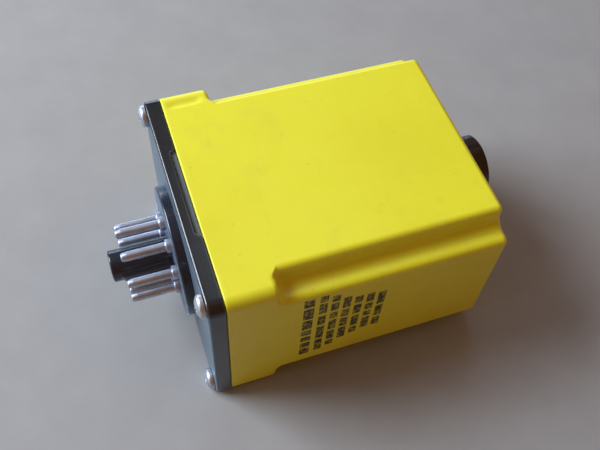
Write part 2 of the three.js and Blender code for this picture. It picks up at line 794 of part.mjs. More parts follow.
place(relay, 'filter_capacitor', buildCanCapacitor(5, 15), 'blue').position.set(17, -19.5, 0);
place(relay, 'timing_capacitor', buildCanCapacitor(4, 11), 'blue').position.set(29, -19.5, 0);
place(relay, 'dropping_resistor',
  boxBetween([-11, -3.2, PART_BASE], [11, 3.2, PART_BASE + 6.5]), 'ceramic').position.set(45, -19.5, 0);
place(relay, 'timer_chip', buildTimerChip(), 'chip').position.set(47, 19, 0);
place(relay, 'transistor', buildTransistor(), 'chip').position.set(31, 22, 0);
for (let i = 0; i < 4; i += 1) {
  place(relay, `rectifier_diode_${i + 1}`, buildAxialPart(1.35, 5.2, 9), 'chip').position.set(19, 14 + 3.4 * i, 0);
}
for (let i = 0; i < 2; i += 1) {
  place(relay, `resistor_${i + 1}`, buildAxialPart(1.1, 6.0, 9), 'tan').position.set(31, 14 + 3.4 * i, 0);
}

// ---- Leads from the plug's pins to the board ----

// The four lower pins' leads drop straight down; the four upper ones swing out round them.
function buildLead(index) {
  const [y, height] = PIN_PLACES[index];
  const z = MID_HEIGHT + height;
  const start = PLUG_BACK + 1.6;
  const landing = PART_BASE + 0.1;
  const isUpper = height > 0;
  const side = Math.sign(y);
  const isInner = Math.abs(y) < PIN_CIRCLE_RADIUS / 2;
  if (!isUpper) {
    return wire([[start, y, z], [start + 1.5, y, z - 0.6], [start + 2.2, y, z - 3], [start + 2.4, y, landing]], 0.6);
  }
  const reach = side * (isInner ? 17.5 : 13);
  const shoulder = z - (isInner ? 1 : 3);
  return wire([
    [start, y, z],
    [start + 1.6, y + side * 0.6, z],
    [start + 2.4, (y + reach) / 2, shoulder + 0.5],
    [start + 2.6, reach, shoulder - 5],
    [start + 2.6, reach, landing],
  ], 0.6, 6, 12);
}

for (let i = 0; i < PIN_COUNT; i += 1) {
  place(relay, `pin_lead_${i + 1}`, buildLead(i), 'wire');
}

// ---- Origin under the middle of the whole object ----

relay.position.x = -(POST_TIP + KNOB_END) / 2;

export default relay;
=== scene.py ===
"""Plug-in relay: its looks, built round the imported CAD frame.

Lengths are in metres, in the frame's own axes: +X from the plug to the knob, +Y across, +Z up.
Where a piece's size matters it is read from the frame's boxes; the roundings and surface details
that only the eye sees are named here in millimetres.
"""
import json
import math
import random

import bmesh
import bpy
from mathutils import Matrix, Vector


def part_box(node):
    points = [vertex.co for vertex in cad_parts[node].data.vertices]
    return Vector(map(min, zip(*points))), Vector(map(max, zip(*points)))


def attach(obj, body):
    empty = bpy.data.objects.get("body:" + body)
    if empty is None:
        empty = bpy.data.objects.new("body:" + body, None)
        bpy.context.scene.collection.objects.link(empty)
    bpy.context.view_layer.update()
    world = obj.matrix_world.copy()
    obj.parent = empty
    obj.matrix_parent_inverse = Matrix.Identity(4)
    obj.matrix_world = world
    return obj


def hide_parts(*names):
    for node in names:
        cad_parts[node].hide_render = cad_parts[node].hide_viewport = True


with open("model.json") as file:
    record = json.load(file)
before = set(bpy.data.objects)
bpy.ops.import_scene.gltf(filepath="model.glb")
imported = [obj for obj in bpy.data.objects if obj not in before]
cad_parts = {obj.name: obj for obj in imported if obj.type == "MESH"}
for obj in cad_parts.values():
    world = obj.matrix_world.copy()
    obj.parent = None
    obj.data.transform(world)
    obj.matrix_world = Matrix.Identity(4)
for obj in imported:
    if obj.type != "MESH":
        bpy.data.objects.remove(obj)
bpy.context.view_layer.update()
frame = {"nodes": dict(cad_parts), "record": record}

MM = 0.001

# ---------------- places taken from the frame

COVER_LOW, COVER_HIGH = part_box("cover")
PLATE_LOW, PLATE_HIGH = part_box("base_plate")
HEADER_LOW, HEADER_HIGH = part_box("octal_header")
KNOB_LOW, KNOB_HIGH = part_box("knob")
BUSHING_LOW, BUSHING_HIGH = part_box("pot_bushing")
BOARD_LOW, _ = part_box("circuit_board")
SET_SCREW_LOW, SET_SCREW_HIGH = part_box("knob_set_screw")

MID_Z = (COVER_LOW.z + COVER_HIGH.z) / 2
HALF_WIDTH = COVER_HIGH.y
HALF_HEIGHT = COVER_HIGH.z - MID_Z
SEAM = 0.1 * MM
PLATE_FACE = PLATE_LOW.x
PLATE_BACK = COVER_LOW.x - SEAM
DIAL_Y = (BUSHING_LOW.y + BUSHING_HIGH.y) / 2
PLUG_AXIS = (0.0, MID_Z)
DIAL_AXIS = (DIAL_Y, MID_Z)
PIN_NAMES = [f"pin_{i + 1}" for i in range(8)]
SCREW_NAMES = [f"cover_screw_{i + 1}" for i in range(4)]


def middle_yz(node):
    """Where a node's axis along X stands, as (y, z)."""
    low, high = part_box(node)
    return (low.y + high.y) / 2, (low.z + high.z) / 2


# ---------------- camera and light

CAMERA_AZIMUTH = math.radians(-23.252)
CAMERA_ELEVATION = math.radians(56.6)
CAMERA_ROLL = math.radians(5.213)
CAMERA_DISTANCE = 0.1927
CAMERA_TARGET = Vector((-0.00194, -0.00212, 0.0229))
CAMERA_LENS = 45.01
SENSOR_WIDTH = 36


def make_camera():
    """The photograph's view: from above the case's front, turned towards the plug and rolled a little."""
    data = bpy.data.cameras.new("camera")
    data.lens = CAMERA_LENS
    data.sensor_width = SENSOR_WIDTH
    data.clip_start = 0.01
    data.clip_end = 20
    camera = bpy.data.objects.new("camera", data)
    bpy.context.scene.collection.objects.link(camera)
    level = math.cos(CAMERA_ELEVATION)
    back = Vector((
        math.sin(CAMERA_AZIMUTH) * level,
        -math.cos(CAMERA_AZIMUTH) * level,
        math.sin(CAMERA_ELEVATION)))
    right = (-back).cross(Vector((0, 0, 1))).normalized()
    up = right.cross(-back)
    rolled_right = right * math.cos(CAMERA_ROLL) + up * math.sin(CAMERA_ROLL)
    rolled_up = up * math.cos(CAMERA_ROLL) - right * math.sin(CAMERA_ROLL)
    turn = Matrix((rolled_right, rolled_up, back)).transposed()
    camera.matrix_world = Matrix.Translation(CAMERA_TARGET + back * CAMERA_DISTANCE) @ turn.to_4x4()
    bpy.context.scene.camera = camera


def soft_box(name, direction, distance, size, radiance, colour):
    """A soft box seen from the object along direction, as bright as radiance on its face."""
    aim = Vector((0, 0, MID_Z))
    width, height = size
    data = bpy.data.lights.new(name, "AREA")
    data.shape = "RECTANGLE"
    data.size = width
    data.size_y = height
    data.energy = radiance * math.pi * width * height
    data.color = colour
    light = bpy.data.objects.new(name, data)
    light.location = aim + Vector(direction).normalized() * distance
    light.rotation_mode = "QUATERNION"
    light.rotation_quaternion = (aim - light.location).to_track_quat("-Z", "Y")
    bpy.context.scene.collection.objects.link(light)


# A Mix node lists a set of sockets for each kind of data; these are the places of its colours.
MIX_FIRST, MIX_SECOND, MIX_RESULT = 6, 7, 2

WARM_SIDE = Vector((0.65, -0.70, -0.30))
ALL_COOL, ALL_WARM = -0.8, 0.1
WARM_ROOM = (1.0, 0.41, 0.08, 1)
COOL_ROOM = (0.50, 0.47, 0.50, 1)
ROOM_STRENGTH = 0.27


def make_room():
    """Dim light from all round: warm from the knob's end and the front, cool from the window's side."""
    world = bpy.data.worlds.new("studio")
    world.use_nodes = True
    tree = world.node_tree
    direction = tree.nodes.new("ShaderNodeTexCoord").outputs["Generated"]
    facing = tree.nodes.new("ShaderNodeVectorMath")
    facing.operation = "DOT_PRODUCT"
    facing.inputs[1].default_value = WARM_SIDE
    share = tree.nodes.new("ShaderNodeMapRange")
    share.inputs["From Min"].default_value = ALL_COOL
    share.inputs["From Max"].default_value = ALL_WARM
    blend = tree.nodes.new("ShaderNodeMix")
    blend.data_type = "RGBA"
    blend.inputs[MIX_FIRST].default_value = COOL_ROOM
    blend.inputs[MIX_SECOND].default_value = WARM_ROOM
    background = tree.nodes["Background"]
    tree.links.new(direction, facing.inputs[0])
    tree.links.new(facing.outputs["Value"], share.inputs["Value"])
    tree.links.new(share.outputs["Result"], blend.inputs["Factor"])
    tree.links.new(blend.outputs[MIX_RESULT], background.inputs["Color"])
    background.inputs["Strength"].default_value = ROOM_STRENGTH
    bpy.context.scene.world = world


def make_lights():
    """One bright window beyond the plug's end, and weaker soft boxes all round."""
    soft_box("window", direction=(-0.69, 0.41, 0.58), distance=0.9, size=(0.50, 0.60),
             radiance=14.2, colour=(0.79, 0.88, 1.0))
    soft_box("low_window", direction=(-0.95, 0.10, 0.25), distance=0.9, size=(0.60, 0.50),
             radiance=2.2, colour=(0.62, 0.80, 1.0))
    soft_box("overhead", direction=(0.10, 0.25, 1.0), distance=0.75, size=(0.80, 0.80),
             radiance=0.14, colour=(0.65, 0.80, 1.0))
    soft_box("strip", direction=(0.21, 0.49, 0.84), distance=0.8, size=(0.20, 0.20),
             radiance=2.0, colour=(0.75, 0.88, 1.0))
    soft_box("back_window", direction=(0.10, 0.98, 0.12), distance=1.0, size=(0.80, 0.25),
             radiance=4.2, colour=(0.66, 0.82, 1.0))
    soft_box("end_fill", direction=(0.95, -0.10, 0.35), distance=0.9, size=(0.45, 0.45),
             radiance=0.4, colour=(0.80, 0.88, 1.0))


# ---------------- materials


class Nodes:
    """Builds one node material: call add() for nodes and join() for links."""

    def __init__(self, name):
        self.material = bpy.data.materials.new(name)
        self.material.use_nodes = True
        self.tree = self.material.node_tree
        self.shader = self.tree.nodes["Principled BSDF"]
        self.coordinates = self.tree.nodes.new("ShaderNodeTexCoord").outputs["Object"]

    def add(self, kind, **settings):
        node = self.tree.nodes.new("ShaderNode" + kind)
        for key, value in settings.items():
            if hasattr(node, key):
                setattr(node, key, value)
            else:
                node.inputs[key.replace("_", " ")].default_value = value
        return node

    def join(self, source, target):
        self.tree.links.new(source, target)

    def noise(self, scale, detail=4.0, roughness=0.55, stretch=None):
        """Noise in the piece's own coordinates, with cells about 1/scale metres wide."""
        node = self.add("TexNoise", Scale=scale, Detail=detail, Roughness=roughness)
        source = self.coordinates
        if stretch:
            mapping = self.add("Mapping")
            mapping.inputs["Scale"].default_value = stretch
            self.join(source, mapping.inputs["Vector"])
            source = mapping.outputs["Vector"]
        self.join(source, node.inputs["Vector"])
        return node.outputs["Fac"]

    def ramp(self, value, low, high, start=0.0, end=1.0):
        """value between start and end, as numbers or colours between low and high."""
        if isinstance(low, (int, float)):
            node = self.add("MapRange")
            node.inputs["From Min"].default_value = start
            node.inputs["From Max"].default_value = end
            node.inputs["To Min"].default_value = low
            node.inputs["To Max"].default_value = high
            self.join(value, node.inputs["Value"])
            return node.outputs["Result"]
        node = self.add("ValToRGB")
        node.color_ramp.elements[0].position = start
        node.color_ramp.elements[0].color = (*low, 1)
        node.color_ramp.elements[1].position = end
        node.color_ramp.elements[1].color = (*high, 1)
        self.join(value, node.inputs["Fac"])
        return node.outputs["Color"]

    def mix(self, amount, first, second):
        """first where amount is 0, second where it is 1; each is a colour or a socket."""
        node = self.add("Mix", data_type="RGBA")
        self.join(amount, node.inputs["Factor"])
        for source, socket in ((first, node.inputs[MIX_FIRST]), (second, node.inputs[MIX_SECOND])):
            if isinstance(source, tuple):
                socket.default_value = (*source, 1)
            else:
                self.join(source, socket)
        return node.outputs[MIX_RESULT]

    def edges(self, low=0.52, high=0.60):
        """1 on sharp outer edges and 0 elsewhere."""
        geometry = self.add("NewGeometry")
        return self.ramp(geometry.outputs["Pointiness"], 0.0, 1.0, low, high)

    def spot(self, centre, radius):
        """1 at a place on the piece, fading to 0 at radius from it."""
        distance = self.add("VectorMath", operation="DISTANCE")
        self.join(self.coordinates, distance.inputs[0])
        distance.inputs[1].default_value = centre
        return self.ramp(distance.outputs["Value"], 1.0, 0.0, 0.0, radius)

    def math(self, operation, first, second):
        """One arithmetic step on two values, each a number or a socket."""
        node = self.add("Math", operation=operation)
        for source, socket in ((first, node.inputs[0]), (second, node.inputs[1])):
            if isinstance(source, (int, float)):
                socket.default_value = source
            else:
                self.join(source, socket)
        return node.outputs[0]

    def total(self, *values):
        result = values[0]
        for value in values[1:]:
            result = self.math("ADD", result, value)
        return result

    def bump(self, height, distance):
        node = self.add("Bump", Distance=distance)
        self.join(height, node.inputs["Height"])
        self.join(node.outputs["Normal"], self.shader.inputs["Normal"])

    def finish(self, colour, roughness, metallic=0.0, **constants):
        """The finished material: colour and roughness are sockets, all else is the same all over."""
        self.join(colour, self.shader.inputs["Base Color"])
        self.join(roughness, self.shader.inputs["Roughness"])
        self.shader.inputs["Metallic"].default_value = metallic
        for key, value in constants.items():
            self.shader.inputs[key.replace("_", " ")].default_value = value
        return self.material


def moulded_plastic(name, colour, dirt_colour, roughness, grain=0.004, dirt=0.35, edge_wear_and_highlight=None, **constants):
    """Moulded plastic: fine grain, faint flow clouds, handling marks, and paler edges that are partly
    rubbed wear and partly a painted highlight.
    """
    n = Nodes(name)
    clouds = n.ramp(n.noise(45, 3), colour, tuple(c * 0.88 for c in colour), 0.35, 0.7)
    smudge = n.ramp(n.noise(120, 5, 0.65), 0.0, dirt, 0.55, 0.74)
    specks = n.ramp(n.noise(1500, 2, 0.5), 0.0, dirt, 0.70, 0.76)
    base = n.mix(n.total(smudge, specks), clouds, dirt_colour)
    if edge_wear_and_highlight:
        # Sharp outer edges get a paler colour: partly rubbed wear, partly a painted highlight along the
        # rounded edges.
        rubbed_and_lit_edges = n.math("MULTIPLY", n.edges(), n.ramp(n.noise(300, 3), 0.25, 0.95, 0.35, 0.62))
        base = n.mix(rubbed_and_lit_edges, base, edge_wear_and_highlight)
    rough = n.ramp(n.noise(90, 6, 0.6), roughness * 0.85, roughness * 1.25, 0.3, 0.7)
    n.bump(n.noise(2600, 2, 0.5), grain * MM)
    return n.finish(base, rough, **constants)


def grime_spots():
    """Marks as (centre, radius, depth of colour): ten handling marks on the case's top, and one small
    dark spot on its front.
    """
    def on_top(along, across):
        return PLATE_FACE + along * MM, across * MM, COVER_HIGH.z

    front_mark = (PLATE_FACE + 14.2 * MM, -HALF_WIDTH, 44.0 * MM)
    return [
        (on_top(29.4, 10.2), 3.2 * MM, 0.08),
        (on_top(11.2, 12.1), 1.8 * MM, 0.12),
        (on_top(14.3, 10.4), 1.9 * MM, 0.08),
        (on_top(42.9, -16.8), 1.9 * MM, 0.12),
        (on_top(28.5, -13.8), 4.2 * MM, 0.05),
        (on_top(19.1, -11.8), 2.0 * MM, 0.07),
        (on_top(9.4, -22.2), 1.3 * MM, 0.14),
        (on_top(11.2, -21.9), 1.0 * MM, 0.13),
        (on_top(58.4, -18.5), 1.8 * MM, 0.10),
        (on_top(51.4, 18.6), 1.4 * MM, 0.09),
        (front_mark, 0.42 * MM, 0.9),
    ]


def yellow_case_material():
    """Opaque yellow moulding: satin skin, faint brown smudges and scuffs, a few dark specks, and paler
    edges that are partly wear and partly a painted highlight.
    """
    n = Nodes("case_yellow")
    yellow = (0.785, 0.738, 0.024)
    deeper = (0.745, 0.680, 0.018)
    grime = (0.36, 0.28, 0.09)
    rubbed_and_lit_yellow = (0.84, 0.80, 0.20)
    clouds = n.mix(n.ramp(n.noise(28, 4, 0.6), 0.0, 1.0, 0.38, 0.66), yellow, deeper)
    smudges = n.ramp(n.noise(95, 6, 0.68), 0.0, 0.11, 0.54, 0.76)
    specks = n.ramp(n.noise(800, 2, 0.45), 0.0, 0.24, 0.72, 0.77)
    scuffs = n.ramp(n.noise(420, 3, 0.6, (1.0, 0.12, 1.0)), 0.0, 0.07, 0.62, 0.72)
    ragged = n.ramp(n.noise(520, 5, 0.7), 0.0, 1.0, 0.40, 0.62)
    marks = n.total(smudges, specks, scuffs)
    for centre, radius, depth in grime_spots():
        faded = n.math("MULTIPLY", n.spot(centre, radius), depth)
        marks = n.total(marks, n.math("MULTIPLY", faded, ragged))
    base = n.mix(marks, clouds, grime)
    # Sharp outer edges turn paler yellow: partly rubbed wear, partly a painted highlight where the
    # rounded edges catch the light.
    rubbed_and_lit_edges = n.math("MULTIPLY", n.edges(0.53, 0.63), n.ramp(n.noise(260, 3), 0.0, 0.30, 0.3, 0.7))
    base = n.mix(rubbed_and_lit_edges, base, rubbed_and_lit_yellow)
    rough = n.ramp(n.noise(110, 6, 0.62), 0.34, 0.50, 0.3, 0.7)
    fine_grain = n.math("MULTIPLY", n.noise(2200, 3, 0.6), 0.35)
    n.bump(n.total(fine_grain, n.noise(160, 3, 0.5)), 0.02 * MM)
    return n.finish(base, rough, Specular_IOR_Level=0.5)


def metal(name, colour, tarnish, roughness, scratch=(1.0, 1.0, 1.0)):
    """Plated or bare metal: tarnish clouds, uneven polish, and fine scratches drawn out by scratch."""
    n = Nodes(name)
    base = n.mix(n.ramp(n.noise(350, 5, 0.65), 0.0, 0.75, 0.42, 0.72), colour, tarnish)
    rough = n.ramp(n.noise(700, 5, 0.6), roughness, roughness + 0.10, 0.35, 0.7)
    n.bump(n.noise(3200, 4, 0.6, scratch), 0.006 * MM)
    return n.finish(base, rough, metallic=1.0)


def board_material():
    """Green laminate: woven glass, with copper tracks showing paler through the resist."""
    n = Nodes("board")
    tracks = n.add("TexBrick", offset=0.35, squash=1.0)
    tracks.inputs["Scale"].default_value = 160
    tracks.inputs["Mortar Size"].default_value = 0.06
    n.join(n.coordinates, tracks.inputs["Vector"])
    weave = n.noise(1800, 2)
    base = n.mix(n.ramp(weave, 0.0, 0.5, 0.4, 0.7), (0.04, 0.16, 0.07), (0.07, 0.22, 0.10))
    base = n.mix(n.math("MULTIPLY", tracks.outputs["Fac"], 0.6), base, (0.10, 0.30, 0.12))
    n.bump(tracks.outputs["Fac"], 0.03 * MM)
    return n.finish(base, n.ramp(weave, 0.25, 0.4, 0.3, 0.7))


def winding_material():
    """Enamelled copper wire, wound turn beside turn."""
    n = Nodes("copper")
    turns = n.add("TexWave", wave_type="BANDS", bands_direction="Z")
    turns.inputs["Scale"].default_value = 1400
    turns.inputs["Distortion"].default_value = 0.6
    n.join(n.coordinates, turns.inputs["Vector"])
    base = n.mix(turns.outputs["Fac"], (0.20, 0.06, 0.02), (0.62, 0.25, 0.10))
    n.bump(turns.outputs["Fac"], 0.06 * MM)
    return n.finish(base, n.ramp(n.noise(900), 0.25, 0.4, 0.3, 0.7), metallic=0.8)


def ceramic_material():
    """Cast ceramic: chalky, faintly mottled and rough."""
    n = Nodes("ceramic")
    base = n.ramp(n.noise(700, 6, 0.7), (0.62, 0.60, 0.53), (0.76, 0.74, 0.67), 0.3, 0.7)
    n.bump(n.noise(1500, 5, 0.7), 0.05 * MM)
    return n.finish(base, n.ramp(n.noise(500), 0.7, 0.9, 0.3, 0.7))


def resistor_material():
    """Painted body, ringed by darker colour bands along X."""
    n = Nodes("resistor_tan")
    bands = n.add("TexWave", wave_type="BANDS", bands_direction="X")
    bands.inputs["Scale"].default_value = 220
    n.join(n.coordinates, bands.inputs["Vector"])
    base = n.ramp(bands.outputs["Fac"], (0.58, 0.38, 0.18), (0.16, 0.05, 0.02), 0.72, 0.80)
    return n.finish(base, n.ramp(n.noise(800), 0.3, 0.5, 0.3, 0.7))


def ink_material():
    """Printing ink gone patchy with wear, so that the yellow shows through."""
    n = Nodes("print_ink")
    patches = n.noise(1250, 2, 0.5)
    base = n.ramp(patches, (0.030, 0.026, 0.008), (0.40, 0.36, 0.02), 0.44, 0.62)
    n.bump(patches, 0.01 * MM)
    return n.finish(base, n.ramp(n.noise(300), 0.45, 0.6, 0.3, 0.7))


def make_materials():
    """One node material for each of the record's slots, and three that only this script uses."""
    # The black mouldings take on a bluish bloom where light grazes them.
    bloom = {"Sheen_Weight": 1.0, "Sheen_Roughness": 0.3, "Sheen_Tint": (0.45, 0.72, 1.0, 1),
             "Specular_IOR_Level": 0.7}
    return {
        "case_yellow": yellow_case_material(),
        # The pale bluish edge colours given to the black mouldings below are partly wear and partly a
        # painted highlight.
        "base_black": moulded_plastic(
            "base_black", (0.0100, 0.0095, 0.0095), (0.060, 0.056, 0.052), roughness=0.20, grain=0.006,
            dirt=0.15, edge_wear_and_highlight=(0.14, 0.15, 0.17), **dict(bloom, Sheen_Weight=0.8)),
        # gate_grey: matt grey, made paler and bluer as a painted reflection of the light on the recess
        # floor.
        "gate_grey": moulded_plastic(
            "gate_grey", (0.105, 0.135, 0.170), (0.13, 0.13, 0.13), roughness=0.55, grain=0.03, dirt=0.5),
        "plug_black": moulded_plastic(
            "plug_black", (0.009, 0.012, 0.022), (0.05, 0.055, 0.065), roughness=0.22, grain=0.003,
            dirt=0.20, edge_wear_and_highlight=(0.10, 0.12, 0.16), **bloom),
        "knob_black": moulded_plastic(
            "knob_black", (0.008, 0.008, 0.009), (0.05, 0.046, 0.042), roughness=0.17, dirt=0.2,
            edge_wear_and_highlight=(0.06, 0.065, 0.07), Specular_IOR_Level=0.7),
        "pin_nickel": metal(
            "pin_nickel", (0.53, 0.58, 0.70), (0.33, 0.35, 0.40), 0.36, scratch=(0.08, 1, 1)),
        "screw_nickel": metal("screw_nickel", (0.68, 0.72, 0.80), (0.42, 0.42, 0.43), 0.36),
        "spring_steel": metal("spring_steel", (0.45, 0.46, 0.48), (0.22, 0.21, 0.20), 0.30),
        "pot_steel": metal("pot_steel", (0.58, 0.59, 0.61), (0.40, 0.39, 0.37), 0.32),
        "relay_iron": metal(
            "relay_iron", (0.56, 0.57, 0.58), (0.40, 0.38, 0.33), 0.34, scratch=(1, 0.1, 1)),
        "brass": metal("brass", (0.76, 0.56, 0.26), (0.42, 0.28, 0.12), 0.24),
        "board": board_material(),
        "nylon": moulded_plastic("nylon", (0.72, 0.69, 0.58), (0.50, 0.42, 0.30), 0.45),
        "copper": winding_material(),
        "capacitor_sleeve": moulded_plastic(
            "capacitor_sleeve", (0.03, 0.09, 0.28), (0.10, 0.12, 0.20), 0.22),
        "ceramic": ceramic_material(),
        "chip_black": moulded_plastic(
            "chip_black", (0.02, 0.02, 0.022), (0.10, 0.10, 0.10), 0.55, grain=0.01),
        "resistor_tan": resistor_material(),
        "lead_red": moulded_plastic("lead_red", (0.34, 0.03, 0.02), (0.16, 0.05, 0.03), 0.42),
        "print_ink": ink_material(),
        "pointer_white": moulded_plastic("pointer_white", (0.78, 0.77, 0.72), (0.45, 0.42, 0.36), 0.5),
    }


# ---------------- mesh tools

TOUCHING = 1e-7


def smooth_step(value, low, high):
    """0 below low, 1 above high, and a smooth rise between them."""
    part = max(0.0, min(1.0, (value - low) / (high - low)))
    return part * part * (3 - 2 * part)


def smooth_bump(value, middle, half_width):
    """1 at middle, falling smoothly to 0 at half_width from it."""
    part = min(1.0, abs(value - middle) / half_width)
    return 0.5 + 0.5 * math.cos(math.pi * part)


def quarter_turn(steps):
    """(forward, sideways) along a quarter arc of radius 1: from (0, 0), leaving sideways, to (1, 1)."""
    angles = [math.pi / 2 * step / steps for step in range(steps + 1)]
    return [(1 - math.cos(angle), math.sin(angle)) for angle in angles]


def filleted(corners, closed=True, steps=6):
    """Points along a line through (u, v, radius) corners, each turned by an arc of its radius."""
    points = []
    count = len(corners)
    for i, (u, v, radius) in enumerate(corners):
        corner = Vector((u, v))
        is_end = not closed and i in (0, count - 1)
        if is_end or radius <= 0:
            points.append(corner)
            continue
        back = (Vector(corners[i - 1][:2]) - corner).normalized()
        ahead = (Vector(corners[(i + 1) % count][:2]) - corner).normalized()
        half_angle = math.acos(max(-1.0, min(1.0, back.dot(ahead)))) / 2
        centre = corner + (back + ahead).normalized() * (radius / math.sin(half_angle))
        start = corner + back * (radius / math.tan(half_angle)) - centre
        end = corner + ahead * (radius / math.tan(half_angle)) - centre
        sweep = start.angle_signed(end)
        for step in range(steps + 1):
            turn = Matrix.Rotation(-sweep * step / steps, 2)
            points.append(centre + turn @ start)
    return points


def resampled(points, count):
    """count points at even distances along an open line, its ends included."""
    lengths = [0.0]
    for a, b in zip(points, points[1:]):
        lengths.append(lengths[-1] + (b - a).length)
    result, segment = [], 0
    for i in range(count):
        distance = lengths[-1] * i / (count - 1)
        while segment < len(points) - 2 and lengths[segment + 1] < distance:
            segment += 1
        span = lengths[segment + 1] - lengths[segment]
        part = (distance - lengths[segment]) / span if span else 0.0
        result.append(points[segment].lerp(points[segment + 1], part))
    return result


def new_piece(name, mesh, material, smooth_angle=35):
    """A visible piece, shaded smooth except at edges sharper than smooth_angle degrees."""
    for polygon in mesh.polygons:
        polygon.use_smooth = True
    mesh.materials.append(material)
    piece = bpy.data.objects.new(name, mesh)
    bpy.context.scene.collection.objects.link(piece)
    mesh.set_sharp_from_angle(angle=math.radians(smooth_angle))
    weighted = piece.modifiers.new("even_normals", "WEIGHTED_NORMAL")
    weighted.keep_sharp = True
    return piece


def mesh_of(name, build):
    """A mesh filled by build(bm)."""
    bm = bmesh.new()
    build(bm)
    bmesh.ops.remove_doubles(bm, verts=bm.verts, dist=TOUCHING)
    bmesh.ops.recalc_face_normals(bm, faces=bm.faces)
    mesh = bpy.data.meshes.new(name)
    bm.to_mesh(mesh)
    bm.free()
    return mesh


def add_loft(bm, rings, closed=False):
    """Quads between rings of equal length; an open loft gets a flat cap at each end."""
    rows = [[bm.verts.new(point) for point in ring] for ring in rings]
    pairs = list(zip(rows, rows[1:]))
    if closed:
        pairs.append((rows[-1], rows[0]))
    for low, high in pairs:
        for i in range(len(low)):
            j = (i + 1) % len(low)
            bm.faces.new((low[i], low[j], high[j], high[i]))
    if not closed:
        bm.faces.new(rows[0])
        bm.faces.new(rows[-1])


def add_turned(bm, profile, axis, segments=64):
    """A profile of (x, radius) points turned about the line along X through axis, a (y, z)."""
    y, z = axis
    rows = []
    for x, radius in profile:
        if radius < TOUCHING:
            rows.append([bm.verts.new((x, y, z))])
            continue
        ring = []
        for i in range(segments):
            angle = 2 * math.pi * i / segments
            ring.append(bm.verts.new((x, y + radius * math.cos(angle), z + radius * math.sin(angle))))
        rows.append(ring)
    for low, high in zip(rows, rows[1:]):
        for i in range(segments):
            j = (i + 1) % segments
            if len(low) == 1:
                bm.faces.new((low[0], high[j], high[i]))
            elif len(high) == 1:
                bm.faces.new((low[i], low[j], high[0]))
            else:
                bm.faces.new((low[i], low[j], high[j], high[i]))


def add_rod(bm, start, end, radius, axis, segments=32):
    """A plain cylinder along X."""
    add_turned(bm, [(start, 0), (start, radius), (end, radius), (end, 0)], axis, segments)


def add_box(bm, low, high):
    """A box between two opposite corners."""
    made = bmesh.ops.create_cube(bm, size=1.0)
    size = Vector(high) - Vector(low)
    centre = (Vector(high) + Vector(low)) / 2
    for vert in made["verts"]:
        vert.co = Vector((vert.co.x * size.x, vert.co.y * size.y, vert.co.z * size.z)) + centre


def turned_profile(corners):
    """(x, radius, fillet) corners in millimetres from the plate's face, filleted, as metres."""
    scaled = [(PLATE_FACE + x * MM, r * MM, fillet * MM) for x, r, fillet in corners]
    return filleted(scaled, closed=False, steps=5)


def boolean(target_mesh, cutter_mesh, operation):
    """The target mesh with the cutter taken away (DIFFERENCE) or joined on (UNION)."""
    target = bpy.data.objects.new("boolean_target", target_mesh)
    cutter = bpy.data.objects.new("boolean_cutter", cutter_mesh)
    for thing in (target, cutter):
        bpy.context.scene.collection.objects.link(thing)
    modifier = target.modifiers.new("boolean", "BOOLEAN")
    modifier.object = cutter
    modifier.operation = operation
    modifier.solver = "EXACT"
    evaluated = target.evaluated_get(bpy.context.evaluated_depsgraph_get())
    result = bpy.data.meshes.new_from_object(evaluated)
    for thing in (target, cutter):
        bpy.data.objects.remove(thing)
    result.materials.clear()
    return result


# ---------------- case

STEP_WIDTH = 5.5 * MM
STEP_DEPTH = 5.3 * MM
STEP_ROUND = 1.7 * MM
STEP_FILLET = 2.6 * MM
STEP_FLAT = 0.1 * MM
BAND_ROUND = 2.8 * MM
BAND_END = PLATE_FACE + 15.6 * MM
BAND_EDGE_ROUND = 1.0 * MM
BAND_FOOT_FILLET = 1.6 * MM
BAND_LEAN = 0.20
BAND_EDGE_SHARE = 0.45
BAND_FOOT_SHARE = 0.55
STRAIGHT_START = PLATE_FACE + 19.6 * MM
END_ROUND = 1.5 * MM
MOUTH_ROUND = 0.35 * MM
WALL = 1.8 * MM
END_WALL = 2.2 * MM
PRINT_THICKNESS = 0.02 * MM
SMALLEST_ROUND = 0.25 * MM
CORNER_REACH = 3.4 * MM
CORNER_SAMPLES = 60
FLAT_SAMPLES = 10
BUSHING_HOLE = 3.9 * MM
SCREW_HOLE = 1.55 * MM
SCREW_HOLE_DEPTH = 9.8 * MM

SINK_Y = 26.5 * MM
SINK_HALF_WIDTH = 1.6 * MM
SINK_START = PLATE_FACE + 4.6 * MM
SINK_END = PLATE_FACE + 14.4 * MM
SINK_DEPTH = 0.35 * MM
SINK_RAMP = 2 * MM
NEAR_TOP = 0.2 * MM


def all_round(corner):
    """A whole outline from one corner's points, which run from the narrow side to the broad side."""
    quarters = []
    for side_y, side_z in ((1, 1), (-1, 1), (-1, -1), (1, -1)):
        points = [Vector((p.x * side_y, p.y * side_z)) for p in corner]
        if side_y * side_z < 0:
            points.reverse()
        quarters.append(points)
    ring = []
    for i, points in enumerate(quarters):
        ring += points
        after = quarters[(i + 1) % 4][0]
        ring += [points[-1].lerp(after, step / FLAT_SAMPLES) for step in range(1, FLAT_SAMPLES)]
    return ring


def stepped_outline(inset):
    """The section past the band, moved inwards by inset: every corner is cut back in a step."""
    side = HALF_WIDTH - PRINT_THICKNESS - inset
    top = HALF_HEIGHT - inset
    shoulder = side - STEP_WIDTH
    ledge = top - STEP_DEPTH
    outer = max(STEP_ROUND - inset, SMALLEST_ROUND)
    inner = min(STEP_FILLET + inset, STEP_DEPTH - outer - STEP_FLAT)
    path = filleted([
        (side, ledge - CORNER_REACH, 0),
        (side, ledge, outer),
        (shoulder, ledge, inner),
        (shoulder, top, outer),
        (shoulder - CORNER_REACH, top, 0),
    ], closed=False, steps=12)
    return all_round(resampled(path, CORNER_SAMPLES))


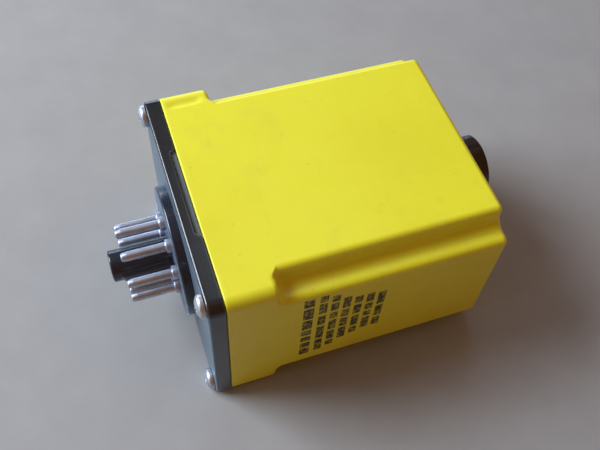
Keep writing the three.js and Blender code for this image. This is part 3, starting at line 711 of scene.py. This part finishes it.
def band_outline(inset):
    """The full rectangle, with its points spaced to match those of the stepped outline."""
    side = HALF_WIDTH - PRINT_THICKNESS - inset
    top = HALF_HEIGHT - inset
    path = filleted([
        (side, top - STEP_DEPTH - CORNER_REACH, 0),
        (side, top, max(BAND_ROUND - inset, SMALLEST_ROUND)),
        (side - STEP_WIDTH - CORNER_REACH, top, 0),
    ], closed=False, steps=18)
    return all_round(resampled(path, CORNER_SAMPLES))


def at_x(outline, x):
    """An outline of (y, height) points as a ring across X."""
    return [Vector((x, p.x, MID_Z + p.y)) for p in outline]


def sink_drop(x, y):
    """The shallow sink mark that the moulding left over one screw boss."""
    along = smooth_step(x, SINK_START, SINK_START + SINK_RAMP)
    along *= 1 - smooth_step(x, SINK_END - SINK_RAMP, SINK_END)
    return SINK_DEPTH * along * smooth_bump(y, SINK_Y, SINK_HALF_WIDTH)


def band_ring(x):
    """The band's section at x, with the sink mark on its top side."""
    ring = at_x(band_outline(0), x)
    for point in ring:
        if point.z > MID_Z + HALF_HEIGHT - NEAR_TOP:
            point.z -= sink_drop(x, point.y)
    return ring


def band_wall(reach, depth):
    """Where the band's end wall stands at reach from the band's surface, filleted at its foot."""
    height = max(0.0, 1 - max(0.0, depth - reach) / BAND_FOOT_FILLET)
    return BAND_END + BAND_LEAN * reach + BAND_FOOT_FILLET * (1 - math.sqrt(1 - height * height))


def band_end_rings():
    """The walls where the band ends: rounded over at the top, leaning a little, filleted at the foot."""
    pairs = [(b, s, (s - b).length) for b, s in zip(band_outline(0), stepped_outline(0))]
    no_step = 1e-6
    rings = []
    for along, rise in quarter_turn(6):
        ring = []
        for band, stepped, depth in pairs:
            radius = min(BAND_EDGE_ROUND, depth * BAND_EDGE_SHARE)
            reach = radius * along
            place = band.lerp(stepped, reach / depth) if depth > no_step else band
            ring.append(Vector((band_wall(reach, depth) - radius * (1 - rise), place.x, MID_Z + place.y)))
        rings.append(ring)
    for along, rise in quarter_turn(8):
        ring = []
        for band, stepped, depth in pairs:
            foot = min(BAND_FOOT_FILLET, depth * BAND_FOOT_SHARE)
            reach = depth - foot * (1 - rise)
            place = band.lerp(stepped, reach / depth) if depth > no_step else stepped
            ring.append(Vector((band_wall(reach, depth), place.x, MID_Z + place.y)))
        rings.append(ring)
    return rings


def build_cover(bm):
    """One closed skin: out along the outside, in through the bushing hole and back along the inside."""
    mouth, end = COVER_LOW.x, COVER_HIGH.x
    rings = [at_x(band_outline(MOUTH_ROUND * (1 - rise)), mouth + MOUTH_ROUND * along)
             for along, rise in quarter_turn(4)]
    band_start, band_stop = mouth + MOUTH_ROUND, BAND_END - BAND_EDGE_ROUND
    band_steps = 16
    rings += [band_ring(band_start + (band_stop - band_start) * step / band_steps)
              for step in range(1, band_steps)]
    rings += band_end_rings()
    start, stop = STRAIGHT_START, end - END_ROUND
    steps = 8
    rings += [at_x(stepped_outline(0), start + (stop - start) * step / steps) for step in range(steps)]
    rings += [at_x(stepped_outline(END_ROUND * along), stop + END_ROUND * rise)
              for along, rise in quarter_turn(8)]
    for x in (end, end - END_WALL):
        ring = []
        for point in stepped_outline(WALL):
            direction = (point - Vector((DIAL_Y, 0))).normalized() * BUSHING_HOLE
            ring.append(Vector((x, DIAL_Y + direction.x, MID_Z + direction.y)))
        rings.append(ring)
    rings.append(at_x(stepped_outline(WALL), end - END_WALL))
    rings.append(at_x(stepped_outline(WALL), mouth))
    add_loft(bm, rings, closed=True)


def screw_holes(bm, start, end, radius):
    """Four rods to cut away, one round each cover screw."""
    for name in SCREW_NAMES:
        add_rod(bm, start, end, radius, middle_yz(name))


def make_cover(materials):
    shell = mesh_of("cover_shell", build_cover)
    start, end = COVER_LOW.x - MM, COVER_LOW.x + SCREW_HOLE_DEPTH
    holes = mesh_of("cover_holes", lambda bm: screw_holes(bm, start, end, SCREW_HOLE))
    cover = new_piece("case_cover", boolean(shell, holes, "DIFFERENCE"), materials["case_yellow"])
    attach(cover, "housing")
    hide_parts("cover")


# ---------------- base plate

PLATE_FACE_ROUND = 0.6 * MM
PLATE_BACK_ROUND = 0.25 * MM
PLATE_SAMPLES = 420
SMALLEST_CORNER = 0.4 * MM
PLUG_HOLE = 15.2 * MM
PLUG_HOLE_END = PLATE_BACK + 3 * MM
PLATE_SCREW_HOLE = 1.75 * MM
PLATE_SCREW_HOLE_END = PLATE_BACK + 4 * MM
RIM_GAP = 0.3 * MM
RIM_WALL = 1.5 * MM
RIM_END = PLATE_FACE + 6.5 * MM
SHELF_Y = 20 * MM
SHELF_HALF_WIDTH = 2.5 * MM
SHELF_LOW = 5.4 * MM
REST_GAP = 0.3 * MM

RECESS_START_Y = -12.5 * MM
RECESS_END_Y = 13.0 * MM
RECESS_X = PLATE_FACE + 2.45 * MM
RECESS_DEPTH = 0.6 * MM
RECESS_RAMP = 0.45 * MM
RECESS_SLANT = 1.3 * MM
RECESS_REACH = 0.7 * MM


def recess_share(x, y):
    """0 outside the shallow recess along the plate's top edge, 1 on its floor."""
    slant = RECESS_SLANT * (PLATE_BACK - x) / (PLATE_BACK - RECESS_X)
    start, end = RECESS_START_Y + slant, RECESS_END_Y - slant
    across = smooth_step(y, start, start + RECESS_RAMP) * (1 - smooth_step(y, end - RECESS_RAMP, end))
    return across * smooth_step(x, RECESS_X, RECESS_X + RECESS_RAMP)


def plate_ring(inset, x):
    """The plate's section at x, moved inwards by inset, with the recess let into its top edge."""
    side, top = HALF_WIDTH - inset, HALF_HEIGHT - inset
    radius = max(BAND_ROUND - inset, SMALLEST_CORNER)
    corners = [(side, -top, radius), (side, top, radius), (-side, top, radius), (-side, -top, radius)]
    outline = filleted(corners, steps=14)
    even = resampled(outline + outline[:1], PLATE_SAMPLES + 1)[:-1]
    ring = []
    for p in even:
        drop = RECESS_DEPTH * recess_share(x, p.x) if p.y > HALF_HEIGHT - RECESS_REACH else 0.0
        ring.append(Vector((x, p.x, MID_Z + p.y - drop)))
    return ring


def build_plate(bm):
    rings = [plate_ring(PLATE_FACE_ROUND * (1 - rise), PLATE_FACE + PLATE_FACE_ROUND * along)
             for along, rise in quarter_turn(6)]
    start, stop = PLATE_FACE + PLATE_FACE_ROUND, PLATE_BACK - PLATE_BACK_ROUND
    steps = 14
    rings += [plate_ring(0, start + (stop - start) * step / steps) for step in range(1, steps)]
    rings += [plate_ring(PLATE_BACK_ROUND * along, stop + PLATE_BACK_ROUND * rise)
              for along, rise in quarter_turn(4)]
    add_loft(bm, rings)


def build_plate_rim(bm):
    """The rim that stands inside the cover's mouth."""
    outside = stepped_outline(WALL + RIM_GAP)
    inside = stepped_outline(WALL + RIM_GAP + RIM_WALL)
    start = PLATE_BACK - REST_GAP
    rings = [at_x(outside, start), at_x(outside, RIM_END), at_x(inside, RIM_END), at_x(inside, start)]
    add_loft(bm, rings, closed=True)


def build_shelves(bm):
    """The two shelves that carry the circuit board's end."""
    for side in (-1, 1):
        middle = side * SHELF_Y
        add_box(bm, (PLATE_BACK - REST_GAP, middle - SHELF_HALF_WIDTH, SHELF_LOW),
                (PLATE_HIGH.x, middle + SHELF_HALF_WIDTH, BOARD_LOW.z - REST_GAP))


def plate_holes(bm):
    """What is cut out of the plate: the plug's round hole and the four screw holes."""
    start = PLATE_FACE - MM
    add_rod(bm, start, PLUG_HOLE_END, PLUG_HOLE, PLUG_AXIS, 96)
    screw_holes(bm, start, PLATE_SCREW_HOLE_END, PLATE_SCREW_HOLE)


def paint_recess(mesh, material):
    """The recess keeps the matt skin of the mould, so it has a material of its own; its paler bluish grey
    is partly that skin and partly a painted reflection of the light on the recess floor.
    """
    mesh.materials.append(material)
    for polygon in mesh.polygons:
        centre = polygon.center
        on_top = centre.z > MID_Z + HALF_HEIGHT - 2 * RECESS_DEPTH and polygon.normal.z > 0.5
        if on_top and recess_share(centre.x, centre.y) > 0.8:
            polygon.material_index = 1


def make_plate(materials):
    plate = mesh_of("plate_body", build_plate)
    plate = boolean(plate, mesh_of("plate_rim", build_plate_rim), "UNION")
    plate = boolean(plate, mesh_of("plate_shelves", build_shelves), "UNION")
    plate = boolean(plate, mesh_of("plate_holes", plate_holes), "DIFFERENCE")
    piece = new_piece("base_plate_moulding", plate, materials["base_black"])
    paint_recess(plate, materials["gate_grey"])
    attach(piece, "housing")
    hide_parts("base_plate")


# ---------------- octal plug

# The turned profiles below use lengths in plain millimetres, for turned_profile.
BOSS_STAND = 2.4
BOSS_RADIUS = 16.5
SPIGOT_RADIUS = 15.0
RING_GROOVE_RADIUS = 14.4
RING_GROOVE_START = 4.15
RING_GROOVE_END = 5.25
SEAT_GAP = 0.05

BOSS_FACE = PLATE_FACE - BOSS_STAND * MM
POST_RADIUS = 3.95 * MM
POST_FOOT = BOSS_FACE + 0.6 * MM
POST_TIP = HEADER_LOW.x
POST_TIP_ROUND = 0.45 * MM
KEY_REACH = 4.9 * MM
KEY_HALF_WIDTH = 0.85 * MM
KEY_ROUND = 0.3 * MM
KEY_FULL = PLATE_FACE - 14.4 * MM
KEY_SLOPE = 0.9 * MM
PIN_HOLE = 1.3 * MM
COLLAR_SEAT = 2.1 * MM
COLLAR_DEPTH = 0.5 * MM


def boss_profile():
    """The boss outside, and the spigot through the plate with its groove for the retaining ring."""
    back = (HEADER_HIGH.x - PLATE_FACE) / MM
    return turned_profile([
        (-BOSS_STAND, 0, 0),
        (-BOSS_STAND, BOSS_RADIUS, 0.55),
        (-SEAT_GAP, BOSS_RADIUS, 0.15),
        (-SEAT_GAP, SPIGOT_RADIUS, 0.1),
        (RING_GROOVE_START, SPIGOT_RADIUS, 0),
        (RING_GROOVE_START, RING_GROOVE_RADIUS, 0),
        (RING_GROOVE_END, RING_GROOVE_RADIUS, 0),
        (RING_GROOVE_END, SPIGOT_RADIUS, 0),
        (back, SPIGOT_RADIUS, 0.2),
        (back, 0, 0),
    ])


def post_ring(x, radius, key_reach):
    """A round section with the key standing out of its -Y side."""
    samples = 96
    ring = []
    for i in range(samples):
        angle = 2 * math.pi * i / samples
        y, z = radius * math.cos(angle), radius * math.sin(angle)
        if y < 0 and key_reach > radius:
            inside = 1 - smooth_step(abs(z), KEY_HALF_WIDTH - KEY_ROUND / 5, KEY_HALF_WIDTH + KEY_ROUND)
            y -= (key_reach - radius) * inside
        ring.append(Vector((x, y, MID_Z + z)))
    return ring


def build_post(bm):
    """The keyed post: full key, then its sloping end, then the post's rounded tip."""
    key_steps, slope_steps = 8, 5
    rings = []
    for step in range(key_steps + 1):
        x = POST_FOOT + (KEY_FULL - POST_FOOT) * step / key_steps
        rings.append(post_ring(x, POST_RADIUS, KEY_REACH))
    for step in range(1, slope_steps + 1):
        share = step / slope_steps
        reach = KEY_REACH + (POST_RADIUS - KEY_REACH) * share
        rings.append(post_ring(KEY_FULL - KEY_SLOPE * share, POST_RADIUS, reach))
    for along, rise in quarter_turn(5):
        x = POST_TIP + POST_TIP_ROUND * (1 - rise)
        rings.append(post_ring(x, POST_RADIUS - POST_TIP_ROUND * along, 0))
    add_loft(bm, rings)


def pin_holes(bm):
    """What is cut out of the plug round each pin: a hole with a wider seat for its collar."""
    start = BOSS_FACE - MM
    seat = BOSS_FACE + COLLAR_DEPTH
    end = HEADER_HIGH.x + MM
    for name in PIN_NAMES:
        profile = [(start, 0), (start, COLLAR_SEAT), (seat, COLLAR_SEAT), (seat, PIN_HOLE),
                   (end, PIN_HOLE), (end, 0)]
        add_turned(bm, profile, middle_yz(name), 32)


def make_header(materials):
    boss = mesh_of("boss", lambda bm: add_turned(bm, boss_profile(), PLUG_AXIS, 128))
    header = boolean(boss, mesh_of("post", build_post), "UNION")
    header = boolean(header, mesh_of("pin_holes", pin_holes), "DIFFERENCE")
    piece = new_piece("octal_plug_body", header, materials["plug_black"])
    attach(piece, "housing")
    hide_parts("octal_header")


PIN_RADIUS = 1.18
COLLAR_RADIUS = 1.75
COLLAR_START = -3.6
COLLAR_END = -1.95
TAIL_RADIUS = 0.8
TAIL_START = 6.0
TAIL_END = 7.3


def pin_profile(low):
    """A drawn tube pin: closed tip with a solder dimple, a collar at the boss, and a solder tail."""
    tip = (low.x - PLATE_FACE) / MM
    return turned_profile([
        (tip + 0.35, 0, 0),
        (tip + 0.28, 0.35, 0.15),
        (tip, 0.62, 0.16),
        (tip + 0.25, 1.02, 0.35),
        (tip + 1.5, PIN_RADIUS, 0.6),
        (COLLAR_START - 0.15, PIN_RADIUS, 0.10),
        (COLLAR_START, COLLAR_RADIUS, 0.14),
        (COLLAR_END, COLLAR_RADIUS, 0.05),
        (COLLAR_END, PIN_RADIUS, 0.05),
        (TAIL_START - 0.2, PIN_RADIUS, 0.1),
        (TAIL_START, TAIL_RADIUS, 0.1),
        (TAIL_END, TAIL_RADIUS, 0.2),
        (TAIL_END, 0, 0),
    ])


def make_pins(materials):
    for name in PIN_NAMES:
        low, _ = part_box(name)
        mesh = mesh_of(name, lambda bm: add_turned(bm, pin_profile(low), middle_yz(name), 40))
        piece = new_piece(f"contact_{name}", mesh, materials["pin_nickel"], 50)
        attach(piece, "housing")
        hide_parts(name)


# ---------------- cover screws

HEAD_RADIUS = 2.7
SHANK_RADIUS = 1.4
SHANK_END = 13.0

# How far each screw is turned, in degrees, and a blade's half length and half width at its two ends.
SCREW_TURNS = (18, 63, -35, 7)
CROSS_OVERSHOOT = 0.2 * MM
CROSS_DEPTH = 1.35 * MM
CROSS_TOP = (1.65 * MM, 0.42 * MM)
CROSS_BOTTOM = (0.75 * MM, 0.24 * MM)


def screw_profile(low):
    """A pan head with a domed top, and a plain shank with a chamfered end."""
    top = (low.x - PLATE_FACE) / MM
    return turned_profile([
        (top, 0, 0),
        (top, 1.25, 0.9),
        (top + 0.75, HEAD_RADIUS, 0.75),
        (-SEAT_GAP, HEAD_RADIUS, 0.12),
        (-SEAT_GAP, SHANK_RADIUS, 0.1),
        (SHANK_END - 0.8, SHANK_RADIUS, 0.3),
        (SHANK_END, SHANK_RADIUS / 2, 0.1),
        (SHANK_END, 0, 0),
    ])


def cross_blade(bm, low, axis, turn):
    """One tapered blade of the cross recess, turned by an angle in degrees."""
    y, z = axis
    top = low.x - CROSS_OVERSHOOT
    angle = math.radians(turn)
    along = Vector((0, math.cos(angle), math.sin(angle)))
    aside = Vector((0, -math.sin(angle), math.cos(angle)))
    rings = []
    for x, (length, width) in ((top, CROSS_TOP), (top + CROSS_DEPTH, CROSS_BOTTOM)):
        middle = Vector((x, y, z))
        rings.append([middle + along * length * a + aside * width * b
                      for a, b in ((1, 1), (-1, 1), (-1, -1), (1, -1))])
    add_loft(bm, rings)


def make_screws(materials):
    for name, turn in zip(SCREW_NAMES, SCREW_TURNS):
        low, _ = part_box(name)
        axis = middle_yz(name)
        screw = mesh_of(name, lambda bm: add_turned(bm, screw_profile(low), axis, 56))
        for blade_turn in (turn, turn + 90):
            blade = mesh_of("cross_blade", lambda bm: cross_blade(bm, low, axis, blade_turn))
            screw = boolean(screw, blade, "DIFFERENCE")
        piece = new_piece(f"pan_head_{name}", screw, materials["screw_nickel"])
        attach(piece, "housing")
        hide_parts(name)


# ---------------- knob and dial

KNOB_RADIUS = 8.5 * MM
KNOB_TOP_ROUND = 0.2 * MM
KNOB_FOOT_ROUND = 0.3 * MM
FLUTES = 8
FLUTE_DEPTH = 0.3 * MM
FIRST_CREST = math.radians(5)
DISH_RADIUS = 6.2 * MM
DISH_DEPTH = 0.35 * MM
DISH_SHARES = (0.95, 0.8, 0.6, 0.4, 0.2, 0.05)
NUT_CAVITY = 6.6 * MM
NUT_CAVITY_END = KNOB_LOW.x + 2.4 * MM
BORE = 3.05 * MM
BORE_END = KNOB_HIGH.x - 2.4 * MM
SET_SCREW_HOLE = 1.45 * MM
SET_SCREW_HOLE_START = 0.5 * MM
POINTER_HALF_WIDTH = 0.45 * MM
POINTER_START = 1.5 * MM
POINTER_END = 7.3 * MM
POINTER_FLOOR = KNOB_HIGH.x - 0.75 * MM
POINTER_PAINT = KNOB_HIGH.x - 0.45 * MM
PAINT_GAP = 0.02 * MM


def knob_ring(x, radius, fluting=1.0):
    """The knob's section at x: round, with shallow flutes as deep as fluting, from 0 to 1, says."""
    samples = 192
    ring = []
    for i in range(samples):
        angle = 2 * math.pi * i / samples
        dip = fluting * FLUTE_DEPTH * (1 - math.cos(FLUTES * (angle - FIRST_CREST))) / 2
        reach = radius - dip
        ring.append(Vector((x, DIAL_Y + reach * math.cos(angle), MID_Z + reach * math.sin(angle))))
    return ring


def build_knob(bm):
    """The knob's outside, from its foot to the shallow dish in its end."""
    start, end = KNOB_LOW.x, KNOB_HIGH.x
    rings = [knob_ring(start + KNOB_FOOT_ROUND * along, KNOB_RADIUS - KNOB_FOOT_ROUND * (1 - rise))
             for along, rise in quarter_turn(4)]
    side_start, side_end = start + KNOB_FOOT_ROUND, end - KNOB_TOP_ROUND
    side_steps = 6
    rings += [knob_ring(side_start + (side_end - side_start) * step / side_steps, KNOB_RADIUS)
              for step in range(1, side_steps)]
    rings += [knob_ring(side_end + KNOB_TOP_ROUND * rise, KNOB_RADIUS - KNOB_TOP_ROUND * along, 1 - along)
              for along, rise in quarter_turn(8)]
    rings.append(knob_ring(end, DISH_RADIUS, 0))
    for share in DISH_SHARES:
        rings.append(knob_ring(end - DISH_DEPTH * (1 - share * share), DISH_RADIUS * share, 0))
    add_loft(bm, rings)


def build_knob_cavity(bm):
    """The bore for the shaft, and the wider space over the bushing's nut."""
    start = KNOB_LOW.x - MM
    profile = [(start, 0), (start, NUT_CAVITY), (NUT_CAVITY_END, NUT_CAVITY), (NUT_CAVITY_END, BORE),
               (BORE_END, BORE), (BORE_END, 0)]
    add_turned(bm, profile, DIAL_AXIS, 64)


def build_set_screw_hole(bm):
    """A rod along +Y, from the knob's axis out through its side."""
    x = (SET_SCREW_LOW.x + SET_SCREW_HIGH.x) / 2
    add_rod(bm, SET_SCREW_HOLE_START, KNOB_RADIUS + MM, SET_SCREW_HOLE, (0, 0))
    turn = Matrix.Rotation(math.radians(90), 4, "Z")
    place = Matrix.Translation((x, DIAL_Y, MID_Z))
    bmesh.ops.transform(bm, matrix=place @ turn, verts=bm.verts)


def pointer_box(bm, low_x, high_x, inset=0.0):
    """The pointer's strip, from near the middle of the knob's end out towards its rim."""
    half = POINTER_HALF_WIDTH - inset
    add_box(bm, (low_x, DIAL_Y - half, MID_Z + POINTER_START + inset),
            (high_x, DIAL_Y + half, MID_Z + POINTER_END - inset))


def make_knob(materials):
    mesh = mesh_of("knob_outside", build_knob)
    for build in (build_knob_cavity, build_set_screw_hole,
                  lambda bm: pointer_box(bm, POINTER_FLOOR, KNOB_HIGH.x + MM)):
        mesh = boolean(mesh, mesh_of("knob_cut", build), "DIFFERENCE")
    knob = new_piece("time_knob", mesh, materials["knob_black"])
    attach(knob, "dial")
    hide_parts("knob")
    paint = mesh_of("pointer", lambda bm: pointer_box(bm, POINTER_FLOOR, POINTER_PAINT, PAINT_GAP))
    pointer = new_piece("knob_pointer_paint", paint, materials["pointer_white"])
    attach(pointer, "dial")


# ---------------- printed marks

PRINT_START = PLATE_FACE + 21.4 * MM
PRINT_FIRST_GAP = 3.75 * MM
PRINT_PITCH = 2.93 * MM
PRINT_BED = 0.05 * MM
FIRST_LINE_HEIGHT = 2.5 * MM
LINE_HEIGHT = 1.95 * MM
# Where each line starts and ends above the floor, and how long its bars and gaps are, in millimetres.
PRINT_TOPS = (38.6, 38.6, 37.3, 35.0, 33.8, 33.6, 32.9)
PRINT_BOTTOMS = (10.2, 10.0, 11.7, 13.4, 15.0, 15.0, 16.0)
BAR_LENGTHS = (2.2, 6.5)
BAR_GAPS = (0.7, 1.1)
SHORTEST_BAR = 0.5 * MM
BAR_SEED = 7


def build_print(bm):
    """Seven lines of plain broken bars where the case carries its print. They spell nothing."""
    dice = random.Random(BAR_SEED)
    front = -HALF_WIDTH
    back = front + PRINT_THICKNESS + PRINT_BED
    for line, (top, bottom) in enumerate(zip(PRINT_TOPS, PRINT_BOTTOMS)):
        start = PRINT_START if line == 0 else PRINT_START + PRINT_FIRST_GAP + (line - 1) * PRINT_PITCH
        height = FIRST_LINE_HEIGHT if line == 0 else LINE_HEIGHT
        place, end = top * MM, bottom * MM
        while place - end > SHORTEST_BAR:
            bar = min(dice.uniform(*BAR_LENGTHS) * MM, place - end)
            add_box(bm, (start, front, place - bar), (start + height, back, place))
            place -= bar + dice.uniform(*BAR_GAPS) * MM


DIAL_MARKS = 11
LONG_MARK_EVERY = 5
DIAL_SWEEP = math.radians(300)
# A mark's inner and outer radius and its half width.
LONG_MARK = (10.4 * MM, 13.2 * MM, 0.35 * MM)
SHORT_MARK = (10.4 * MM, 12.2 * MM, 0.22 * MM)


def build_dial_marks(bm):
    """Plain scale marks round the knob, over its whole turn. Every fifth one is longer."""
    for i in range(DIAL_MARKS):
        angle = math.pi / 2 + DIAL_SWEEP * (0.5 - i / (DIAL_MARKS - 1))
        inner, outer, half = LONG_MARK if i % LONG_MARK_EVERY == 0 else SHORT_MARK
        along = Vector((0, math.cos(angle), math.sin(angle)))
        aside = Vector((0, -math.sin(angle), math.cos(angle)))
        middle = Vector((COVER_HIGH.x, DIAL_Y, MID_Z))
        corners = [along * a + aside * b
                   for a, b in ((inner, half), (outer, half), (outer, -half), (inner, -half))]
        rings = [[middle + Vector((x, 0, 0)) + corner for corner in corners]
                 for x in (-PRINT_BED, PRINT_THICKNESS)]
        add_loft(bm, rings)


def make_print(materials):
    for name, build in (("side_print_bars", build_print), ("dial_marks", build_dial_marks)):
        piece = new_piece(name, mesh_of(name, build), materials["print_ink"])
        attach(piece, "housing")


# ---------------- everything together


def dress_cad_nodes(materials):
    """Every CAD node gets its slot's node material."""
    slots = {entry["node"]: entry["material_slot"] for entry in frame["record"]["subparts"]}
    for name, piece in frame["nodes"].items():
        piece.data.materials.clear()
        piece.data.materials.append(materials[slots[name]])


FLOOR_REACH = 3.0


def make_floor():
    """A plain pale floor under the relay."""
    corners = [(FLOOR_REACH * x, FLOOR_REACH * y, 0) for x, y in ((-1, -1), (1, -1), (1, 1), (-1, 1))]
    mesh = bpy.data.meshes.new("floor")
    mesh.from_pydata(corners, [], [(0, 1, 2, 3)])
    floor = bpy.data.objects.new("floor", mesh)
    bpy.context.scene.collection.objects.link(floor)
    n = Nodes("floor")
    base = n.ramp(n.noise(60, 6, 0.6), (0.305, 0.300, 0.295), (0.335, 0.33, 0.325), 0.3, 0.7)
    mesh.materials.append(n.finish(base, n.ramp(n.noise(90), 0.8, 0.9, 0.3, 0.7)))


materials = make_materials()
make_camera()
make_lights()
make_room()
bpy.context.scene.view_settings.view_transform = "Standard"
make_floor()
dress_cad_nodes(materials)
make_cover(materials)
make_plate(materials)
make_header(materials)
make_pins(materials)
make_screws(materials)
make_knob(materials)
make_print(materials)
